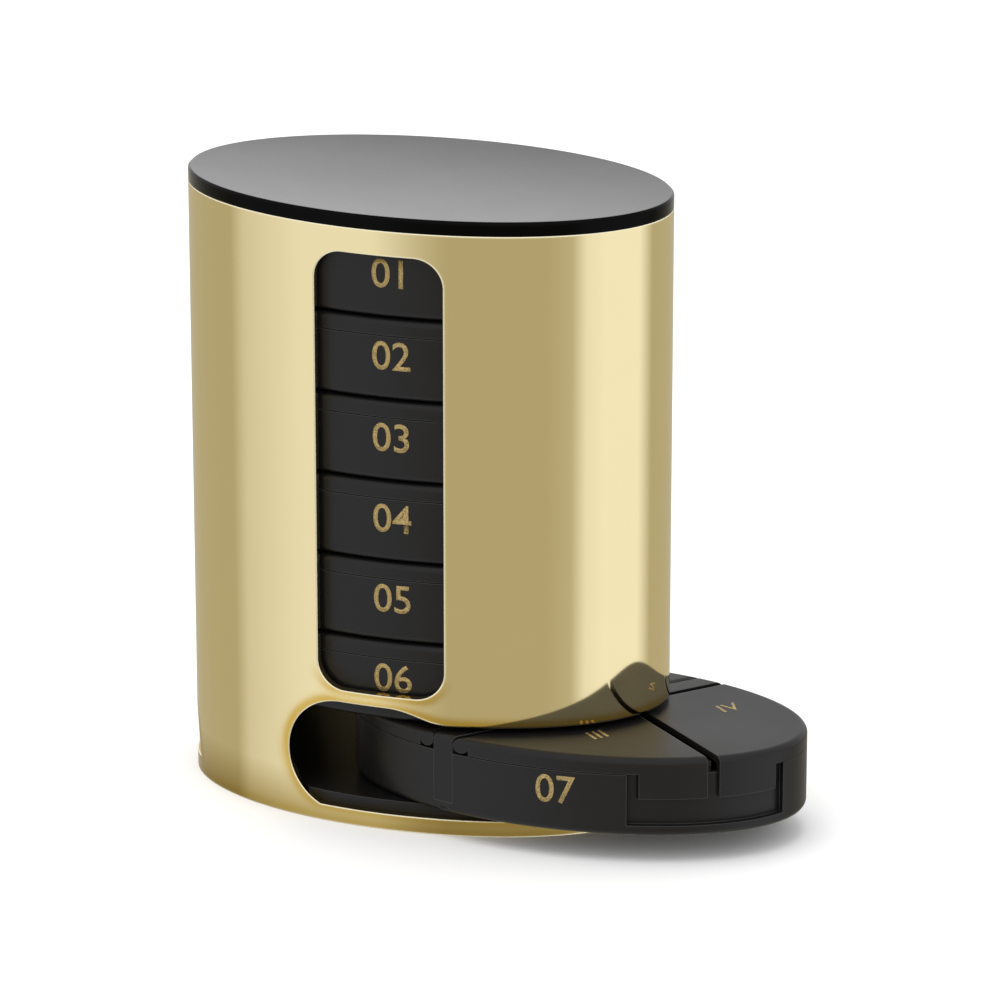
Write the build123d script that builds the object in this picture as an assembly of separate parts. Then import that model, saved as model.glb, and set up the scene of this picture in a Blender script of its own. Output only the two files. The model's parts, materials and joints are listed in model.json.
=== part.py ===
import os

from build123d import *

# Tower, an upright oval tube seen from the front along +Y
shell_half_length = 50.0
shell_half_depth = 29.0
shell_height = 125.6
shell_wall = 2.0
shell_edge_round = 0.5

# Floor of the tower and the low rim left under its openings
floor_height = 5.6
floor_fit = 0.05
rim_height = 3.4

# Lift-off cover with a plug that drops into the tube
cover_thickness = 2.9
cover_inset = 0.0
cover_bevel = 0.5
plug_depth = 1.2
plug_wall = 1.6
plug_clearance = 0.35
plug_room = 0.5

# Stack of trays, one a day, the lowest drawn out at the right
days = ["monday", "tuesday", "wednesday", "thursday", "friday", "saturday", "sunday"]
tray_clearance = 0.9
stack_gap = 0.3
drawn_out = 34.3
draw_angle = -10.8

# Tray body, an oval cup with four pockets
tray_wall = 2.4
tray_floor = 1.6
tray_foot_round = 1.5
divider = 1.6
ring_spare = 3.0
spine_end_gap = 0.3
strip_angle = 47.5
half_turn = 180.0

# Hinge strip across the tray and its end posts
strip_width = 4.0
post_depth = 1.2
post_foot = 2.4
notch_width = 2.0
notch_height = 1.5

# Lids, two on each side of the strip
lid_depth = 3.5
lid_plate = 1.4
lid_skirt = 1.4
lid_edge_round = 1.3
lid_seat_gap = 0.2
lid_gap = 2.3
gap_offset_share = 0.195
rod_radius = 1.5
rod_clearance = 0.1
rod_sink = 0.05
rod_side_gap = 0.15
spine_lip = 0.95
spine_under_plate = 0.3

# Finger tabs of the lids and the recess they hang in
tab_depth = 8.5
tab_thickness = 1.0
tab_length = 12.2
tab_end_gap = 2.0
recess_depth = 1.3
recess_foot = 2.4

# Front window over the stack
window_half_width_share = 0.268
window_offset = -1.2
window_foot_gap = 5.3
window_head_gap = 5.1
window_corner = 6.0

# Front finger hole that runs into the side exit
exit_headroom = 0.9
hole_radius = 11.9
hole_rise = 2.8
hole_end_share = 0.43
slope_end_share = 0.28
exit_back_share = 0.08
exit_corner = 3.0

# Thumb arch at the left end
arch_half_foot_share = 0.37
arch_half_top_share = 0.17
arch_top_share = 0.72
arch_round = 4.5

# Derived levels and sizes
tray_count = len(days)
bore_half_length = shell_half_length - shell_wall
bore_half_depth = shell_half_depth - shell_wall
tray_pitch = (shell_height - plug_depth - plug_room - floor_height) / tray_count
tray_height = tray_pitch - stack_gap
tray_half_length = bore_half_length - tray_clearance
tray_half_depth = bore_half_depth - tray_clearance
draw = Vector(drawn_out, 0, 0).rotate(Axis.Z, draw_angle)
wall_top = tray_height - lid_depth
cap_foot = wall_top + lid_seat_gap
plate_foot = tray_height - lid_plate
axis_height = tray_height - rod_radius - rod_sink
axis_side = strip_width / 2 + rod_side_gap + rod_radius
trough_radius = rod_radius + rod_clearance
strip_seat = axis_height - trough_radius
spine_half = axis_side + trough_radius + spine_lip
spine_top = plate_foot - spine_under_plate
gap_offset = tray_half_length * gap_offset_share
exit_top = floor_height + tray_pitch + exit_headroom
reach = 3 * shell_half_length


def oval_tube(half_length, half_depth, low, high):
    return Pos(0, 0, low) * extrude(Ellipse(half_length, half_depth), amount=high - low)


# Tray pieces are made with the hinge strip along X and turned at the end
def tray_oval(inset, low, high):
    outline = Ellipse(tray_half_length - inset, tray_half_depth - inset)
    return Pos(0, 0, low) * extrude(Rot(0, 0, -strip_angle) * outline, amount=high - low)


def outer_ring(depth, low, high):
    return tray_oval(-ring_spare, low, high) - tray_oval(depth, low, high)


def block(x_low, x_high, y_low, y_high, z_low, z_high):
    middle = Pos((x_low + x_high) / 2, (y_low + y_high) / 2, (z_low + z_high) / 2)
    return middle * Box(x_high - x_low, y_high - y_low, z_high - z_low)


def rod_along(radius, x_low, x_high, side):
    middle = Pos((x_low + x_high) / 2, side, axis_height)
    return middle * Rot(0, 90, 0) * Cylinder(radius, x_high - x_low)


def both_halves(shape):
    return [shape, Rot(0, 0, half_turn) * shape]


# Oval blank with a rounded upper edge, cut into lids and strip
def capped_oval(low):
    blank = tray_oval(0, low, tray_height)
    return fillet(blank.edges().group_by(Axis.Z)[-1], lid_edge_round)


def make_tray():
    foot = tray_oval(0, 0, wall_top)
    foot = fillet(foot.edges().group_by(Axis.Z)[0], tray_foot_round)
    tray = foot + tray_oval(tray_wall + spine_end_gap, tray_floor, spine_top)
    hollow = tray_oval(tray_wall, tray_floor, tray_height)
    front_pocket = hollow & block(-reach, gap_offset - divider / 2, -reach, -spine_half, 0, reach)
    side_pocket = hollow & block(gap_offset + divider / 2, reach, -reach, -spine_half, 0, reach)
    recess_half = lid_gap / 2 + tab_length + tab_end_gap
    recess = outer_ring(recess_depth, recess_foot, tray_height) & block(
        gap_offset - recess_half, gap_offset + recess_half, -reach, -spine_half, 0, reach
    )
    trough = rod_along(trough_radius, -reach, reach, -axis_side)
    for cut in (front_pocket, side_pocket, recess, trough):
        for half in both_halves(cut):
            tray -= half
    tray -= block(-reach, reach, -axis_side, axis_side, strip_seat, tray_height)
    tray -= outer_ring(post_depth, post_foot, tray_height) & block(
        -reach, reach, -strip_width / 2, strip_width / 2, 0, reach
    )
    tray -= outer_ring(post_depth, 0, notch_height) & block(
        -reach, 0, -notch_width / 2, notch_width / 2, 0, reach
    )
    return tray


def make_strip():
    band = block(-reach, reach, -strip_width / 2, strip_width / 2, 0, reach)
    return (capped_oval(post_foot) & band) - tray_oval(post_depth, 0, strip_seat)


def make_lid(x_low, x_high, tab_low, tab_high):
    tab_foot = tray_height - tab_depth
    lid = block(x_low, x_high, -reach, -axis_side, tab_foot, tray_height)
    lid -= tray_oval(lid_skirt, 0, plate_foot)
    lid -= tray_oval(tab_thickness, 0, cap_foot)
    lid -= block(-2 * reach, tab_low, -2 * reach, 0, 0, cap_foot)
    lid -= block(tab_high, 2 * reach, -2 * reach, 0, 0, cap_foot)
    lid -= block(-2 * reach, 2 * reach, -axis_side - rod_radius, 0, 0, plate_foot)
    lid += rod_along(rod_radius, x_low, x_high, -axis_side)
    return lid & capped_oval(tab_foot)


def make_shell():
    shell = oval_tube(shell_half_length, shell_half_depth, 0, shell_height)
    shell -= oval_tube(bore_half_length, bore_half_depth, 0, shell_height)
    shell = fillet(shell.edges().group_by(Axis.Z)[-1], shell_edge_round)
    shell -= window_cut()
    shell -= front_exit_cut()
    shell -= back_exit_cut()
    shell -= arch_cut()
    return shell


def window_cut():
    foot = exit_top + window_foot_gap
    head = shell_height - window_head_gap
    width = 2 * shell_half_length * window_half_width_share
    face = Pos(window_offset, (foot + head) / 2) * RectangleRounded(width, head - foot, window_corner)
    return extrude(Plane.XZ * face, amount=reach)


def front_exit_cut():
    head = exit_top + hole_rise
    centre_x = hole_radius - shell_half_length * hole_end_share
    slope_end = shell_half_length * slope_end_share
    slope = Spline((0, head), (slope_end, exit_top), tangents=((1, 0), (1, 0)))
    corners = [(slope_end, exit_top), (reach, exit_top), (reach, rim_height), (centre_x, rim_height)]
    outline = Polyline(*corners, (centre_x, head), (0, head))
    over_rim = Pos(0, rim_height + reach / 2) * Rectangle(2 * reach, reach)
    hole = Pos(centre_x, head - hole_radius) * Circle(hole_radius) & over_rim
    face = make_face([slope, *outline.edges()]) + hole
    return extrude(Plane.XZ * face, amount=reach)


def back_exit_cut():
    start = shell_half_length * exit_back_share
    face = Pos((start + reach) / 2, (rim_height + exit_top) / 2) * Rectangle(
        reach - start, exit_top - rim_height
    )
    face = fillet(face.vertices().group_by(Axis.X)[0], exit_corner)
    return extrude(Plane.XZ * face, amount=-reach)


def arch_cut():
    foot = shell_half_depth * arch_half_foot_share
    top = shell_half_depth * arch_half_top_share
    head = exit_top * arch_top_share
    corners = [(-foot, rim_height), (foot, rim_height), (top, head), (-top, head)]
    face = make_face(Polyline(*corners, close=True))
    face = fillet(face.vertices().group_by(Axis.Y)[-1], arch_round)
    return extrude(Plane.YZ * face, amount=-reach)


def make_cover():
    head = shell_height + cover_thickness
    cover = oval_tube(shell_half_length - cover_inset, shell_half_depth - cover_inset, shell_height, head)
    cover = chamfer(cover.edges().group_by(Axis.Z)[-1], cover_bevel)
    plug_length = bore_half_length - plug_clearance
    plug_half_depth = bore_half_depth - plug_clearance
    plug_foot = shell_height - plug_depth
    plug = oval_tube(plug_length, plug_half_depth, plug_foot, shell_height)
    plug -= oval_tube(plug_length - plug_wall, plug_half_depth - plug_wall, plug_foot, shell_height)
    return cover + plug


nodes = {}
nodes["outer_shell"] = make_shell()
nodes["floor_plate"] = oval_tube(bore_half_length - floor_fit, bore_half_depth - floor_fit, 0, floor_height)
nodes["cover"] = make_cover()

# One set of tray pieces, set down once a day from the top of the stack
inner_low = gap_offset - lid_gap / 2
inner_high = gap_offset + lid_gap / 2
front_lid = make_lid(-reach, inner_low, inner_low - tab_length, inner_low)
end_lid = make_lid(inner_high, reach, inner_high, inner_high + tab_length)
pieces = {
    "tray": make_tray(),
    "hinge_strip": make_strip(),
    "evening_lid": front_lid,
    "bedtime_lid": end_lid,
    "noon_lid": Rot(0, 0, half_turn) * front_lid,
    "morning_lid": Rot(0, 0, half_turn) * end_lid,
}
for level, day in enumerate(reversed(days)):
    out = draw if level == 0 else Vector(0, 0, 0)
    place = Pos(out.X, out.Y, floor_height + tray_pitch * level) * Rot(0, 0, strip_angle)
    for piece, shape in pieces.items():
        nodes[day + "_" + piece] = place * shape

os.makedirs("parts", exist_ok=True)
for name, shape in nodes.items():
    export_step(shape, "parts/" + name + ".step")
print(len(nodes), "nodes written")
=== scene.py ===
import json
import math
import bpy
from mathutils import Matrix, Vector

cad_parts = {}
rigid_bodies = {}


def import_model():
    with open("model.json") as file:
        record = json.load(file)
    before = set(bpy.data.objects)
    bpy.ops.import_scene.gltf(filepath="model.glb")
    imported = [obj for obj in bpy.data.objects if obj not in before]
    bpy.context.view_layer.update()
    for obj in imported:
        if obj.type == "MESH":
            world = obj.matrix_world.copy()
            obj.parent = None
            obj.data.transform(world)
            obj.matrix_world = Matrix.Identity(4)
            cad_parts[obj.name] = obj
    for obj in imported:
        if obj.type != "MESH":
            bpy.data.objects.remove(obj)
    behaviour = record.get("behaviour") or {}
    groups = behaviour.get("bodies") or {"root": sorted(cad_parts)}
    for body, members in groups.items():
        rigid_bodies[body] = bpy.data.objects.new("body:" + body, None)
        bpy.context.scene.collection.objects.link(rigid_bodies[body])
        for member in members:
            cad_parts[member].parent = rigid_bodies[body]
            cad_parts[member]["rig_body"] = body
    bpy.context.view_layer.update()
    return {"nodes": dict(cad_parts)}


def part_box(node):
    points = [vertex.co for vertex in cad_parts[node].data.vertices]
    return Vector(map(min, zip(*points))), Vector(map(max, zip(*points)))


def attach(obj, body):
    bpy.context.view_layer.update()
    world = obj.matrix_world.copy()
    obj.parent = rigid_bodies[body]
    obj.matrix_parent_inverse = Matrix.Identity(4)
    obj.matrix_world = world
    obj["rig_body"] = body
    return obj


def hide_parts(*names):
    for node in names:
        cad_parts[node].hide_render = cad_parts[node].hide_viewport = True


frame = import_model()
nodes = frame["nodes"]
dayNames = ["monday", "tuesday", "wednesday", "thursday", "friday", "saturday", "sunday"]
print("frame loaded,", len(nodes), "nodes")


def clearSelection():
    if bpy.context.object and bpy.context.object.mode != "OBJECT":
        bpy.ops.object.mode_set(mode="OBJECT")
    bpy.ops.object.select_all(action="DESELECT")


def pick(piece):
    clearSelection()
    piece.select_set(True)
    bpy.context.view_layer.objects.active = piece


def applyAll(piece):
    pick(piece)
    for mod in list(piece.modifiers):
        bpy.ops.object.modifier_apply(modifier=mod.name)
    bpy.ops.object.transform_apply(location=True, rotation=True, scale=True)


# shader helpers; in addNode a key such as in_From_Min sets the input From Min
def addNode(tree, kind, **values):
    node = tree.nodes.new(kind)
    for key, value in values.items():
        if key.startswith("in_"):
            node.inputs[key[3:].replace("_", " ")].default_value = value
        else:
            setattr(node, key, value)
    return node


def newGroup(name, inputs, outputs):
    group = bpy.data.node_groups.new(name, "ShaderNodeTree")
    for label, kind, value in inputs:
        socket = group.interface.new_socket(label, in_out="INPUT", socket_type=kind)
        socket.default_value = value
    for label, kind in outputs:
        group.interface.new_socket(label, in_out="OUTPUT", socket_type=kind)
    entry = group.nodes.new("NodeGroupInput").outputs
    leave = group.nodes.new("NodeGroupOutput").inputs
    return group, entry, leave


def link(tree, socket, value):
    if hasattr(value, "is_linked"):
        tree.links.new(value, socket)
    else:
        socket.default_value = value


def mathNode(tree, operation, first, second):
    node = addNode(tree, "ShaderNodeMath", operation=operation)
    link(tree, node.inputs[0], first)
    link(tree, node.inputs[1], second)
    return node.outputs["Value"]


def mapRange(tree, source, low, high, fromLow, fromHigh):
    node = addNode(tree, "ShaderNodeMapRange", in_From_Min=fromLow, in_From_Max=fromHigh, in_To_Min=low, in_To_Max=high)
    tree.links.new(source, node.inputs["Value"])
    return node.outputs["Result"]


def mixColour(tree, factor, first, second):
    node = addNode(tree, "ShaderNodeMix", data_type="RGBA")
    for place, value in ((0, factor), (6, first), (7, second)):
        link(tree, node.inputs[place], (*value, 1) if isinstance(value, tuple) else value)
    return node.outputs[2]


def mixValue(tree, factor, first, second):
    node = addNode(tree, "ShaderNodeMix", data_type="FLOAT")
    for place, value in ((0, factor), (2, first), (3, second)):
        link(tree, node.inputs[place], value)
    return node.outputs[0]


def splitAxes(tree, vector):
    node = addNode(tree, "ShaderNodeSeparateXYZ")
    tree.links.new(vector, node.inputs["Vector"])
    return node.outputs


def newMaterial(name):
    material = bpy.data.materials.new(name)
    material.use_nodes = True
    return material, material.node_tree, material.node_tree.nodes["Principled BSDF"]


def objectPlace(tree):
    return addNode(tree, "ShaderNodeTexCoord").outputs["Object"]


# fine moulded grain: two noises give a height and a patchy tone
patchRange = {"low": 0.3, "high": 0.7}
grain, grainIn, grainOut = newGroup("mouldedGrain",
                                    [("Vector", "NodeSocketVector", (0, 0, 0)),
                                     ("Grain Scale", "NodeSocketFloat", 2600.0),
                                     ("Patch Scale", "NodeSocketFloat", 60.0)],
                                    [("Height", "NodeSocketFloat"), ("Patch", "NodeSocketFloat")])
fine = addNode(grain, "ShaderNodeTexNoise", in_Detail=2.0, in_Roughness=0.6)
patch = addNode(grain, "ShaderNodeTexNoise", in_Detail=4.0, in_Roughness=0.55)
for noise, scale, result in ((fine, "Grain Scale", "Height"), (patch, "Patch Scale", "Patch")):
    grain.links.new(grainIn["Vector"], noise.inputs["Vector"])
    grain.links.new(grainIn[scale], noise.inputs["Scale"])
    grain.links.new(noise.outputs["Fac"], grainOut[result])

# rounded edges: a normal that turns over the edge and a mask that marks it
edgeMark = {"samples": 8, "flat": 0.998, "edge": 0.90}
edges, edgesIn, edgesOut = newGroup("roundedEdges", [("Radius", "NodeSocketFloat", 0.0003)],
                                    [("Normal", "NodeSocketVector"), ("Mask", "NodeSocketFloat")])
turned = addNode(edges, "ShaderNodeBevel", samples=edgeMark["samples"])
straight = addNode(edges, "ShaderNodeNewGeometry")
alike = addNode(edges, "ShaderNodeVectorMath", operation="DOT_PRODUCT")
edges.links.new(edgesIn["Radius"], turned.inputs["Radius"])
edges.links.new(turned.outputs["Normal"], alike.inputs[0])
edges.links.new(straight.outputs["Normal"], alike.inputs[1])
edgeMask = mapRange(edges, alike.outputs["Value"], 0.0, 1.0, edgeMark["flat"], edgeMark["edge"])
edges.links.new(turned.outputs["Normal"], edgesOut["Normal"])
edges.links.new(edgeMask, edgesOut["Mask"])


def roundEdges(tree, radius):
    use = addNode(tree, "ShaderNodeGroup", node_tree=edges, in_Radius=radius)
    return use.outputs["Normal"], use.outputs["Mask"]


def addGrain(tree, shader, grainScale, roughLow, roughHigh):
    use = addNode(tree, "ShaderNodeGroup", node_tree=grain, in_Grain_Scale=grainScale)
    tree.links.new(objectPlace(tree), use.inputs["Vector"])
    rough = mapRange(tree, use.outputs["Patch"], roughLow, roughHigh, patchRange["low"], patchRange["high"])
    tree.links.new(rough, shader.inputs["Roughness"])
    return use


def addBump(tree, shader, height, normal, strength, distance):
    bump = addNode(tree, "ShaderNodeBump", in_Strength=strength, in_Distance=distance)
    tree.links.new(height, bump.inputs["Height"])
    tree.links.new(normal, bump.inputs["Normal"])
    tree.links.new(bump.outputs["Normal"], shader.inputs["Normal"])


def grainedPlastic(name, dark, light, roughLow, roughHigh, bumpStrength, bumpDistance, grainScale, edgeRadius,
                   edgeHighlightTone, mirror):
    material, tree, shader = newMaterial(name)
    use = addGrain(tree, shader, grainScale, roughLow, roughHigh)
    turnedNormal, edgeHighlightShare = roundEdges(tree, edgeRadius)
    bodyTone = mixColour(tree, use.outputs["Patch"], dark, light)
    # painted highlight: the colour turns paler along every edge, where the edges would catch the light
    tree.links.new(mixColour(tree, edgeHighlightShare, bodyTone, edgeHighlightTone), shader.inputs["Base Color"])
    addBump(tree, shader, use.outputs["Height"], turnedNormal, bumpStrength, bumpDistance)
    shader.inputs["Specular IOR Level"].default_value = mirror
    return material, tree, shader


# the edge tone is a painted highlight for the tray edges
trayFinish = {"dark": (0.006, 0.0055, 0.0055), "light": (0.011, 0.010, 0.010), "roughLow": 0.31, "roughHigh": 0.39,
              "bumpStrength": 0.30, "bumpDistance": 0.00004, "grainScale": 2400.0, "edgeRadius": 0.00025,
              "edgeHighlightTone": (0.045, 0.044, 0.043), "mirror": 0.28}
trayBlack = grainedPlastic("satinBlackTray", **trayFinish)[0]

# cover: grained satin on top, polished black round the side; its edge tone is a painted highlight
coverFinish = {"dark": (0.040, 0.040, 0.042), "light": (0.075, 0.075, 0.077), "roughLow": 0.34, "roughHigh": 0.42,
               "bumpStrength": 0.55, "bumpDistance": 0.00004, "grainScale": 1500.0, "edgeRadius": 0.0005,
               "edgeHighlightTone": (0.12, 0.12, 0.12), "mirror": 0.32}
paintedCoverSheen = {"tone": (0.21, 0.21, 0.212), "back": 0.026, "front": -0.030}
shadedCoverSide = {"tone": (0.006, 0.006, 0.006), "rough": 0.12, "metal": 1.0, "drop": 0.00004}
coverBlack, coverTree, coverShader = grainedPlastic("satinCover", **coverFinish)
coverAxes = splitAxes(coverTree, objectPlace(coverTree))
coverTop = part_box("cover")[1].z
isTop = mathNode(coverTree, "GREATER_THAN", coverAxes["Z"], coverTop - shadedCoverSide["drop"])
satinRough = coverShader.inputs["Roughness"].links[0].from_socket
satinTone = coverShader.inputs["Base Color"].links[0].from_socket
coverTree.links.new(mixValue(coverTree, isTop, shadedCoverSide["rough"], satinRough), coverShader.inputs["Roughness"])
# painted shade: the polished black side is a near-black metal that mirrors almost nothing, so it renders darker than
# black plastic would
coverTree.links.new(mixValue(coverTree, isTop, shadedCoverSide["metal"], 0.0), coverShader.inputs["Metallic"])
# painted sheen: the satin top is painted paler towards the front, standing in for the room's reflection on it
frontSheenShare = mapRange(coverTree, coverAxes["Y"], 0.0, 1.0, paintedCoverSheen["back"], paintedCoverSheen["front"])
topToneWithSheen = mixColour(coverTree, frontSheenShare, satinTone, paintedCoverSheen["tone"])
coverTree.links.new(mixColour(coverTree, isTop, shadedCoverSide["tone"], topToneWithSheen), coverShader.inputs["Base Color"])

# gold plating: bright metal with a faint waviness, with painted shade tones for the lower openings and the foot and a
# painted highlight tone for the edges
goldFinish = {"colour": (0.90, 0.755, 0.42), "deepShare": 0.965, "patchScale": 35.0, "roughLow": 0.05,
              "roughHigh": 0.085, "waveScale": 55.0, "waveBump": 0.02, "waveDistance": 0.0002, "edgeRadius": 0.0006,
              "edgeHighlightTone": (0.97, 0.91, 0.70), "rimShadeTone": (0.66, 0.43, 0.075), "rimShadeRadius": 0.0046, "lowFrom": 0.034,
              "lowTo": 0.028, "foot": (0.44, 0.31, 0.09), "footShadeFrom": 0.010}
goldPlate, goldTree, goldShader = newMaterial("goldPlating")
goldShader.inputs["Metallic"].default_value = 1.0
goldUse = addGrain(goldTree, goldShader, goldFinish["waveScale"], goldFinish["roughLow"], goldFinish["roughHigh"])
goldUse.inputs["Patch Scale"].default_value = goldFinish["patchScale"]
deeper = tuple(c * goldFinish["deepShare"] for c in goldFinish["colour"])
bodyGold = mixColour(goldTree, goldUse.outputs["Patch"], goldFinish["colour"], deeper)
# painted shade: a deeper tone round the lower openings and down at the foot; painted highlight: a pale line on every
# edge
goldUp = splitAxes(goldTree, objectPlace(goldTree))["Z"]
lowShadeShare = mapRange(goldTree, goldUp, 0.0, 1.0, goldFinish["lowFrom"], goldFinish["lowTo"])
rimShadeMask = roundEdges(goldTree, goldFinish["rimShadeRadius"])[1]
rimShadeShare = mathNode(goldTree, "MULTIPLY", lowShadeShare, rimShadeMask)
rimShadedGold = mixColour(goldTree, rimShadeShare, bodyGold, goldFinish["rimShadeTone"])
# painted shade: the gold darkens towards the foot
footShadeShare = mapRange(goldTree, goldUp, 0.0, 1.0, goldFinish["footShadeFrom"], 0.0)
footShadedGold = mixColour(goldTree, footShadeShare, rimShadedGold, goldFinish["foot"])
edgeNormal, edgeHighlightShare = roundEdges(goldTree, goldFinish["edgeRadius"])
goldTree.links.new(mixColour(goldTree, edgeHighlightShare, footShadedGold, goldFinish["edgeHighlightTone"]), goldShader.inputs["Base Color"])
addBump(goldTree, goldShader, goldUse.outputs["Height"], edgeNormal, goldFinish["waveBump"],
        goldFinish["waveDistance"])

# printed numbers: gold ink with small gaps in it
inkFinish = {"colour": (0.50, 0.36, 0.13), "worn": (0.14, 0.10, 0.05), "scale": 5200.0, "detail": 3.0, "bare": 0.36,
             "full": 0.56, "metal": 0.35, "rough": 0.42}
goldInk, inkTree, inkShader = newMaterial("goldInk")
inkNoise = addNode(inkTree, "ShaderNodeTexNoise", in_Scale=inkFinish["scale"], in_Detail=inkFinish["detail"])
inkTree.links.new(objectPlace(inkTree), inkNoise.inputs["Vector"])
inkCover = mapRange(inkTree, inkNoise.outputs["Fac"], 0.0, 1.0, inkFinish["bare"], inkFinish["full"])
inkTone = mixColour(inkTree, inkCover, inkFinish["worn"], inkFinish["colour"])
inkTree.links.new(inkTone, inkShader.inputs["Base Color"])
inkShader.inputs["Metallic"].default_value = inkFinish["metal"]
inkShader.inputs["Roughness"].default_value = inkFinish["rough"]
print("materials made")


def paint(piece, material):
    piece.data.materials.clear()
    piece.data.materials.append(material)


for node in nodes.values():
    paint(node, trayBlack)
paint(nodes["cover"], coverBlack)

# gold shell, remade with smooth walls for clean reflections
shellSize = {"halfLength": 0.050, "halfDepth": 0.029, "wall": 0.002, "height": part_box("outer_shell")[1].z,
             "segments": 320, "edgeRound": 0.0006, "edgeSteps": 3, "smoothAngle": 30, "edgeAngle": 50,
             "weld": 0.00001}
windowSize = {"left": -0.0146, "right": 0.0122, "foot": 0.0287, "head": 0.1205, "corner": 0.006}
exitSize = {"rim": 0.0034, "top": 0.0234, "holeX": -0.0096, "holeRadius": 0.0119, "holeHead": 0.0262,
            "slopeEnd": 0.014, "easeShare": 0.42, "far": 0.075, "backStart": 0.004, "backCorner": 0.003,
            "farCorner": 0.001}
archSize = {"halfFoot": 0.01073, "top": 0.01685, "footHandle": (0.0016, 0.0062), "topHandle": 0.0082}
cutSize = {"shallow": 0.012, "deep": 0.025, "frontMiddle": -0.025, "backMiddle": 0.0249, "steps": 24,
           "weld": 0.000001}
circleBend = 0.5523
straightSide = (0, 0)


def flatOutline(name, points, depth):
    # closed bezier outline in X and Y, given a depth and made a mesh
    clearSelection()
    bpy.ops.curve.primitive_bezier_curve_add()
    outline = bpy.context.object
    outline.name = name
    outline.data.dimensions = "2D"
    outline.data.fill_mode = "BOTH"
    outline.data.extrude = depth
    outline.data.resolution_u = cutSize["steps"]
    outline.data.splines.clear()
    spline = outline.data.splines.new("BEZIER")
    spline.bezier_points.add(len(points) - 1)
    spline.use_cyclic_u = True
    for bead, (x, y, before, after) in zip(spline.bezier_points, points):
        # a side without a handle is straight, and stays one edge
        bead.handle_left_type = "FREE" if any(before) else "VECTOR"
        bead.handle_right_type = "FREE" if any(after) else "VECTOR"
        bead.co = (x, y, 0)
        bead.handle_left = (x + before[0], y + before[1], 0)
        bead.handle_right = (x + after[0], y + after[1], 0)
    pick(outline)
    bpy.ops.object.convert(target="MESH")
    return bpy.context.object


def roundedBox(left, right, foot, head, leftCorner, rightCorner):
    points = []
    for x, y, turnX, turnY, radius in ((right, foot, -1, 1, rightCorner), (right, head, -1, -1, rightCorner),
                                       (left, head, 1, -1, leftCorner), (left, foot, 1, 1, leftCorner)):
        along = (x + turnX * radius, y)
        alongHandle = (-turnX * circleBend * radius, 0)
        up = (x, y + turnY * radius)
        upHandle = (0, -turnY * circleBend * radius)
        if turnX * turnY < 0:
            points += [(*along, straightSide, alongHandle), (*up, upHandle, straightSide)]
        else:
            points += [(*up, straightSide, upHandle), (*along, alongHandle, straightSide)]
    return points


def exitPoints():
    size = exitSize
    radius, middle = size["holeRadius"], size["holeHead"] - size["holeRadius"]
    bend = circleBend * radius
    # the rim cuts off the foot of the round finger hole
    foot = math.acos((middle - size["rim"]) / radius)
    sweep = math.pi / 2 - foot
    reach = 4 / 3 * math.tan(sweep / 4) * radius
    corner = (size["holeX"] - radius * math.sin(foot), size["rim"])
    ease = size["easeShare"] * size["slopeEnd"]
    return [(*corner, straightSide, (-reach * math.cos(foot), reach * math.sin(foot))),
            (size["holeX"] - radius, middle, (0, -reach), (0, bend)),
            (size["holeX"], size["holeHead"], (-bend, 0), straightSide),
            (0, size["holeHead"], straightSide, (ease, 0)),
            (size["slopeEnd"], size["top"], (-ease, 0), straightSide),
            (size["far"], size["top"], straightSide, straightSide),
            (size["far"], size["rim"], straightSide, straightSide)]


def archPoints():
    foot, top, rim = archSize["halfFoot"], archSize["top"], exitSize["rim"]
    across, up = archSize["footHandle"]
    over = archSize["topHandle"]
    return [(foot, rim, straightSide, (-across, up)), (0, top, (over, 0), (-over, 0)),
            (-foot, rim, (across, up), straightSide)]


def standUp(cutter, x, y, turn):
    cutter.rotation_euler = (math.radians(90), 0, turn)
    cutter.location = (x, y, 0)
    applyAll(cutter)
    bpy.ops.object.mode_set(mode="EDIT")
    bpy.ops.mesh.select_all(action="SELECT")
    bpy.ops.mesh.remove_doubles(threshold=cutSize["weld"])
    bpy.ops.mesh.normals_make_consistent(inside=False)
    bpy.ops.object.mode_set(mode="OBJECT")
    return cutter


def cutOut(piece, cutter):
    pick(piece)
    cut = piece.modifiers.new("cut", "BOOLEAN")
    cut.operation = "DIFFERENCE"
    cut.solver = "EXACT"
    cut.object = cutter
    bpy.ops.object.modifier_apply(modifier=cut.name)
    bpy.data.objects.remove(cutter)


def makeTube():
    clearSelection()
    bpy.ops.mesh.primitive_circle_add(vertices=shellSize["segments"], radius=1.0, fill_type="NOTHING")
    tube = bpy.context.object
    tube.name = "goldShell"
    bpy.ops.object.mode_set(mode="EDIT")
    bpy.ops.mesh.select_all(action="SELECT")
    bpy.ops.transform.resize(value=(shellSize["halfLength"], shellSize["halfDepth"], 1))
    bpy.ops.mesh.extrude_region_move(TRANSFORM_OT_translate={"value": (0, 0, shellSize["height"])})
    bpy.ops.mesh.select_all(action="SELECT")
    bpy.ops.mesh.normals_make_consistent(inside=False)
    bpy.ops.object.mode_set(mode="OBJECT")
    wall = tube.modifiers.new("wall", "SOLIDIFY")
    wall.thickness = shellSize["wall"]
    wall.offset = -1
    wall.use_even_offset = True
    applyAll(tube)
    return tube


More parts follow.
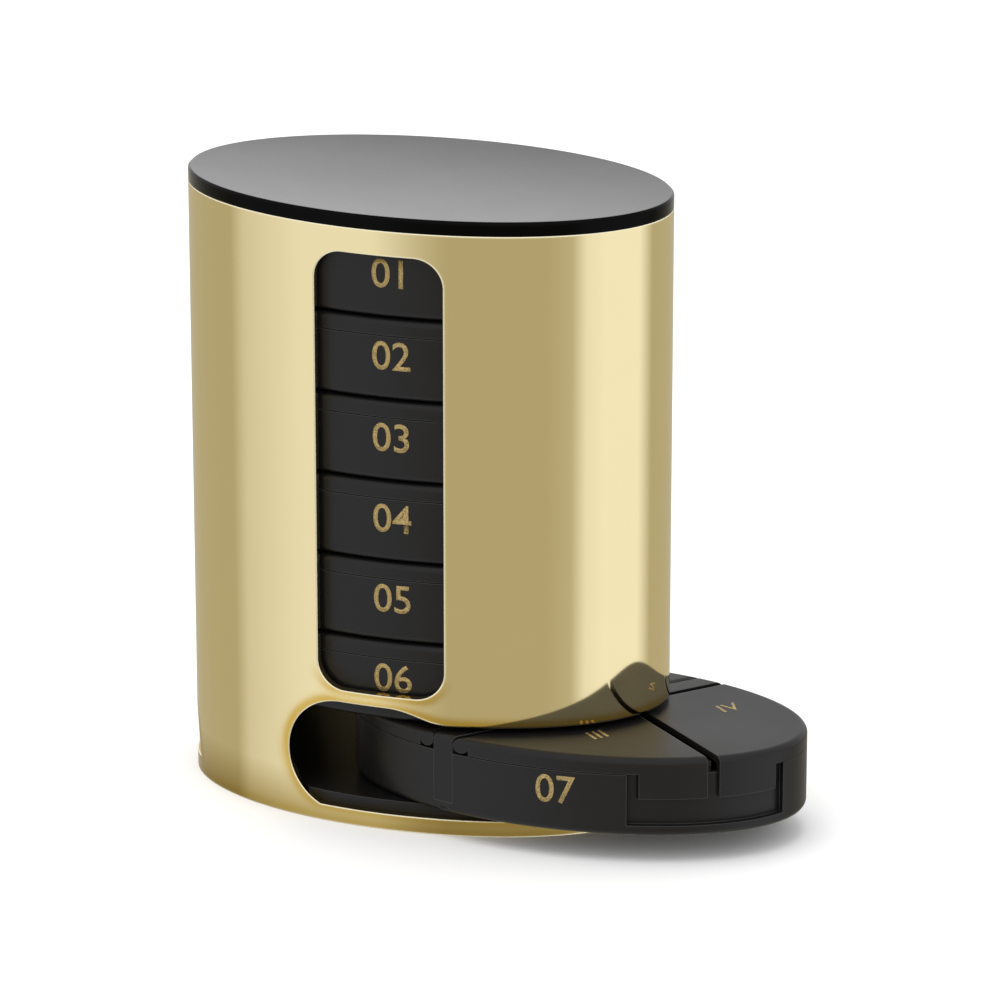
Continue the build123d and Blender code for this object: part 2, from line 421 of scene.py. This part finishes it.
def makeShell():
    shell = makeTube()
    size = windowSize
    window = roundedBox(size["left"], size["right"], size["foot"], size["head"], size["corner"], size["corner"])
    size = exitSize
    backExit = roundedBox(size["backStart"], size["far"], size["rim"], size["top"], size["backCorner"],
                          size["farCorner"])
    shallow, deep = cutSize["shallow"], cutSize["deep"]
    cutters = [
        standUp(flatOutline("windowCutter", window, shallow), 0, -shellSize["halfDepth"], 0),
        standUp(flatOutline("exitCutter", exitPoints(), deep), 0, cutSize["frontMiddle"], 0),
        standUp(flatOutline("backCutter", backExit, deep), 0, cutSize["backMiddle"], 0),
        standUp(flatOutline("archCutter", archPoints(), shallow), -shellSize["halfLength"], 0, math.radians(90))]
    for cutter in cutters:
        cutOut(shell, cutter)
    pick(shell)
    bpy.ops.object.mode_set(mode="EDIT")
    bpy.ops.mesh.select_all(action="SELECT")
    bpy.ops.mesh.remove_doubles(threshold=shellSize["weld"])
    bpy.ops.mesh.dissolve_degenerate(threshold=shellSize["weld"])
    bpy.ops.object.mode_set(mode="OBJECT")
    bpy.ops.object.shade_smooth_by_angle(angle=math.radians(shellSize["smoothAngle"]))
    # the clamp leaves a hairline here: the edges look round by the material's normals
    roll = shell.modifiers.new("roll", "BEVEL")
    roll.width = shellSize["edgeRound"]
    roll.segments = shellSize["edgeSteps"]
    roll.limit_method = "ANGLE"
    roll.angle_limit = math.radians(shellSize["edgeAngle"])
    roll.use_clamp_overlap = True
    roll.harden_normals = True
    applyAll(shell)
    return shell


goldShell = makeShell()
paint(goldShell, goldPlate)
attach(goldShell, "tower")
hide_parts("outer_shell")
print("shell made,", len(goldShell.data.polygons), "faces")

# printed numbers, one on each tray front and one on each lid
trayPrint = {"height": 0.0083, "right": 0.0008, "lowestRight": 0.0030, "up": 0.0088, "start": 0.003, "bold": 0.00006,
             "proud": 0.00004, "thick": 0.00004}
lidPrint = {"height": 0.0056, "bold": 0.00003, "proud": 0.00002, "thick": 0.00003, "turn": 47.5, "curveSteps": 8}
# number, side of the hinge strip, and millimetres along the strip and out from it
lidMarks = {"morning_lid": ("I", -1, 25.9, 15.4), "noon_lid": ("II", -1, -4.6, 15.2),
            "evening_lid": ("III", 1, -4.6, 15.2), "bedtime_lid": ("IV", 1, 25.9, 15.4)}
millimetre = 0.001


def writeNumber(name, words, size, bold):
    clearSelection()
    bpy.ops.object.text_add()
    number = bpy.context.object
    number.name = name
    number.data.body = words
    number.data.size = size
    number.data.offset = bold
    number.data.align_x = "CENTER"
    number.data.align_y = "CENTER"
    number.data.resolution_u = lidPrint["curveSteps"]
    bpy.ops.object.convert(target="MESH")
    return bpy.context.object


def thicken(number, thick):
    pick(number)
    skin = number.modifiers.new("skin", "SOLIDIFY")
    skin.thickness = thick
    skin.offset = 0
    bpy.ops.object.modifier_apply(modifier=skin.name)


def wrapOnto(number, tray):
    wrap = number.modifiers.new("wrap", "SHRINKWRAP")
    wrap.target = tray
    wrap.wrap_method = "PROJECT"
    wrap.use_project_y = True
    wrap.use_positive_direction = True
    wrap.wrap_mode = "ABOVE_SURFACE"
    wrap.offset = trayPrint["proud"]
    bpy.ops.object.modifier_apply(modifier=wrap.name)


for count, day in enumerate(dayNames, 1):
    low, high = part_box(day + "_tray")
    middleX, middleY = (low.x + high.x) / 2, (low.y + high.y) / 2
    number = writeNumber(day + "_number", "0" + str(count), trayPrint["height"], trayPrint["bold"])
    number.rotation_euler = (math.radians(90), 0, 0)
    right = trayPrint["lowestRight" if day == "sunday" else "right"]
    number.location = (middleX + right, low.y - trayPrint["start"], low.z + trayPrint["up"])
    applyAll(number)
    wrapOnto(number, nodes[day + "_tray"])
    thicken(number, trayPrint["thick"])
    paint(number, goldInk)
    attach(number, day)
    turn = math.radians(lidPrint["turn"])
    for lid, (words, side, along, out) in lidMarks.items():
        x = side * millimetre * (along * math.cos(turn) + out * math.sin(turn))
        y = side * millimetre * (along * math.sin(turn) - out * math.cos(turn))
        mark = writeNumber(day + "_" + lid + "_number", words, lidPrint["height"], lidPrint["bold"])
        mark.rotation_euler = (0, 0, turn + (0 if side > 0 else math.pi))
        mark.location = (middleX + x, middleY + y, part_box(day + "_" + lid)[1].z + lidPrint["proud"])
        applyAll(mark)
        thicken(mark, lidPrint["thick"])
        paint(mark, goldInk)
        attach(mark, nodes[day + "_" + lid]["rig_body"])
print("numbers printed")

# pale floor, left out of the reflections
floorSize = {"half": 3.0, "colour": (0.94, 0.94, 0.94), "rough": 0.9, "mirror": 0.0}
clearSelection()
bpy.ops.mesh.primitive_plane_add(size=2 * floorSize["half"], location=(0, 0, 0))
floor = bpy.context.object
floor.name = "studioFloor"
floorPaint, floorTree, floorShader = newMaterial("studioFloor")
floorShader.inputs["Base Color"].default_value = (*floorSize["colour"], 1)
floorShader.inputs["Roughness"].default_value = floorSize["rough"]
floorShader.inputs["Specular IOR Level"].default_value = floorSize["mirror"]
paint(floor, floorPaint)
floor.visible_glossy = False

# white room, with soft bands low down that only reflections see: compass angle and brightness
bandStops = [(-180, 0), (-168, 0), (-160, 0.45), (-134, 0.85), (-112, 0.85), (-98, 0.2), (-91, 0), (-57, 0),
             (-45, 0.13), (-37, 0.88), (-25, 1.04), (7, 1.04), (17, 0.5), (26, 0.04), (125, 0.05), (180, 0)]
bandTone = {"dark": (0.50, 0.475, 0.38), "light": (1.0, 1.03, 1.1), "below": -0.02}
roomWhite = (1.0, 1.0, 1.0)
world = bpy.data.worlds.new("studioRoom")
bpy.context.scene.world = world
world.use_nodes = True
room = world.node_tree
direction = addNode(room, "ShaderNodeTexCoord")
roomAxes = splitAxes(room, direction.outputs["Generated"])
bearing = mathNode(room, "ARCTAN2", roomAxes["Y"], roomAxes["X"])
bands = addNode(room, "ShaderNodeValToRGB")
room.links.new(mapRange(room, bearing, 0.0, 1.0, -math.pi, math.pi), bands.inputs["Fac"])
beads = bands.color_ramp.elements
for stop, (angle, level) in enumerate(bandStops):
    place = (angle + 180) / 360
    if stop == 0:
        bead = beads[0]
    elif stop == len(bandStops) - 1:
        bead = beads[-1]
    else:
        bead = beads.new(place)
    bead.position = place
    bead.color = (*[d + (l - d) * level for d, l in zip(bandTone["dark"], bandTone["light"])], 1)
isLow = mathNode(room, "LESS_THAN", roomAxes["Z"], bandTone["below"])
rays = addNode(room, "ShaderNodeLightPath")
lowGlossy = mathNode(room, "MULTIPLY", rays.outputs["Is Glossy Ray"], isLow)
roomTone = mixColour(room, lowGlossy, roomWhite, bands.outputs["Color"])
room.links.new(roomTone, room.nodes["Background"].inputs["Color"])

# one soft lamp overhead
lampSize = {"across": 1.2, "power": 9.0, "place": (-0.25, -0.1, 1.3)}
clearSelection()
bpy.ops.object.light_add(type="AREA", location=lampSize["place"])
lamp = bpy.context.object
lamp.name = "overheadSoftbox"
lamp.data.size = lampSize["across"]
lamp.data.energy = lampSize["power"]
lamp.visible_glossy = False

# camera where the photograph was taken from
cameraSpot = {"place": (0.36895, -1.09006, 0.46336), "tilt": 19.29, "turn": 18.0, "lens": 217.1, "sensor": 36.0,
              "near": 0.01}
clearSelection()
bpy.ops.object.camera_add(location=cameraSpot["place"],
                          rotation=(math.radians(90 - cameraSpot["tilt"]), 0, math.radians(cameraSpot["turn"])))
camera = bpy.context.object
camera.data.sensor_width = cameraSpot["sensor"]
camera.data.lens = cameraSpot["lens"]
camera.data.clip_start = cameraSpot["near"]
bpy.context.scene.camera = camera
bpy.context.scene.view_settings.view_transform = "Standard"
print("stage, light and camera set")
